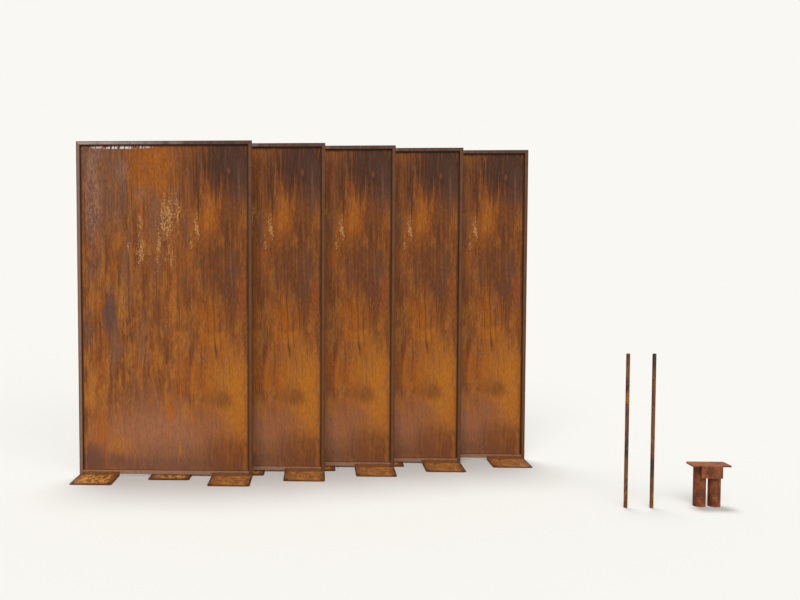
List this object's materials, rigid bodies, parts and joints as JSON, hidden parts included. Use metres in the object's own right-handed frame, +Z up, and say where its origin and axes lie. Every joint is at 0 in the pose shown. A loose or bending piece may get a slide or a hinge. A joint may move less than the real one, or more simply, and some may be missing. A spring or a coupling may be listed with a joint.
{
  "type": "garden privacy screen set",
  "caption": "Free-standing garden privacy screens of weathering steel, each a sheet in a welded tube frame on bent plate feet, with loose ground stakes and a joiner.",
  "frame": {"origin": "on the ground, under the middle of the whole set's bounding box", "axes": "+X to the right along the screens seen from their fronts, +Y from the fronts to the backs, +Z up"},
  "size_m": [3.23, 0.9836, 1.8],
  "materials": {
    "rusted_sheet": "weathering steel sheet with a streaky orange and purple-brown rust patina, low sheen",
    "rusted_frame": "weathering steel square tube, darker grey-brown rust, low sheen",
    "rusted_foot": "weathering steel plate with ochre and brown rust patches",
    "rusted_weld": "rusted fillet weld",
    "rusted_bar": "rusted round bar, matt",
    "rusted_joiner": "rusted plate and tube, matt red-brown"
  },
  "bodies": {
    "root": {"screen_1_sheet": "rusted_sheet", "screen_1_left_stile": "rusted_frame", "screen_1_right_stile": "rusted_frame", "screen_1_top_rail": "rusted_frame", "screen_1_bottom_rail": "rusted_frame", "screen_1_left_foot": "rusted_foot", "screen_1_right_foot": "rusted_foot", "screen_1_welds": "rusted_weld", "screen_2_sheet": "rusted_sheet", "screen_2_left_stile": "rusted_frame", "screen_2_right_stile": "rusted_frame", "screen_2_top_rail": "rusted_frame", "screen_2_bottom_rail": "rusted_frame", "screen_2_left_foot": "rusted_foot", "screen_2_right_foot": "rusted_foot", "screen_2_welds": "rusted_weld", "screen_3_sheet": "rusted_sheet", "screen_3_left_stile": "rusted_frame", "screen_3_right_stile": "rusted_frame", "screen_3_top_rail": "rusted_frame", "screen_3_bottom_rail": "rusted_frame", "screen_3_left_foot": "rusted_foot", "screen_3_right_foot": "rusted_foot", "screen_3_welds": "rusted_weld", "screen_4_sheet": "rusted_sheet", "screen_4_left_stile": "rusted_frame", "screen_4_right_stile": "rusted_frame", "screen_4_top_rail": "rusted_frame", "screen_4_bottom_rail": "rusted_frame", "screen_4_left_foot": "rusted_foot", "screen_4_right_foot": "rusted_foot", "screen_4_welds": "rusted_weld", "screen_5_sheet": "rusted_sheet", "screen_5_left_stile": "rusted_frame", "screen_5_right_stile": "rusted_frame", "screen_5_top_rail": "rusted_frame", "screen_5_bottom_rail": "rusted_frame", "screen_5_left_foot": "rusted_foot", "screen_5_right_foot": "rusted_foot", "screen_5_welds": "rusted_weld", "stake_1": "rusted_bar", "stake_2": "rusted_bar", "joiner_plate": "rusted_joiner", "joiner_left_tube": "rusted_joiner", "joiner_right_tube": "rusted_joiner", "joiner_welds": "rusted_weld"}
  },
  "joints": []
}
